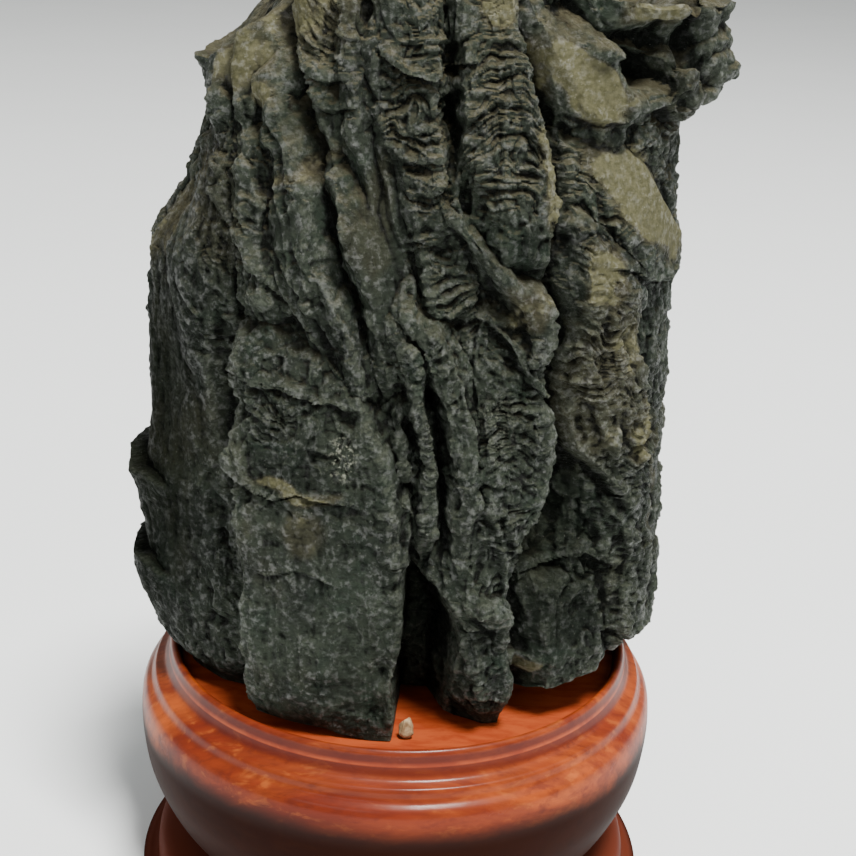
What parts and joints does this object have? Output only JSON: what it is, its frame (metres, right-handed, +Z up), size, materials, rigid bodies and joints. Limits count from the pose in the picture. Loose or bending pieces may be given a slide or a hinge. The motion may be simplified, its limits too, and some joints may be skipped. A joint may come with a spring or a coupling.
{
  "type": "suseok viewing stone",
  "caption": "Upright dark ribbed viewing stone with dusty tan facets, standing in the dished top of a round turned and varnished red-brown wooden stand.",
  "frame": {"origin": "centre of the stand's flat underside, on the surface that it stands on", "axes": "+Z up, along the height of the stone and the axis of the stand; -Y is the front that the picture shows; +X to the viewer's right"},
  "size_m": [0.1593, 0.1532, 0.2702],
  "materials": {
    "dark_stone": "weathered, slightly glossy",
    "varnished_wood": "polished varnish",
    "tan_chip": "matt"
  },
  "bodies": {
    "root": {"stone": "dark_stone", "stand": "varnished_wood", "wedge_chip": "tan_chip"}
  },
  "joints": []
}
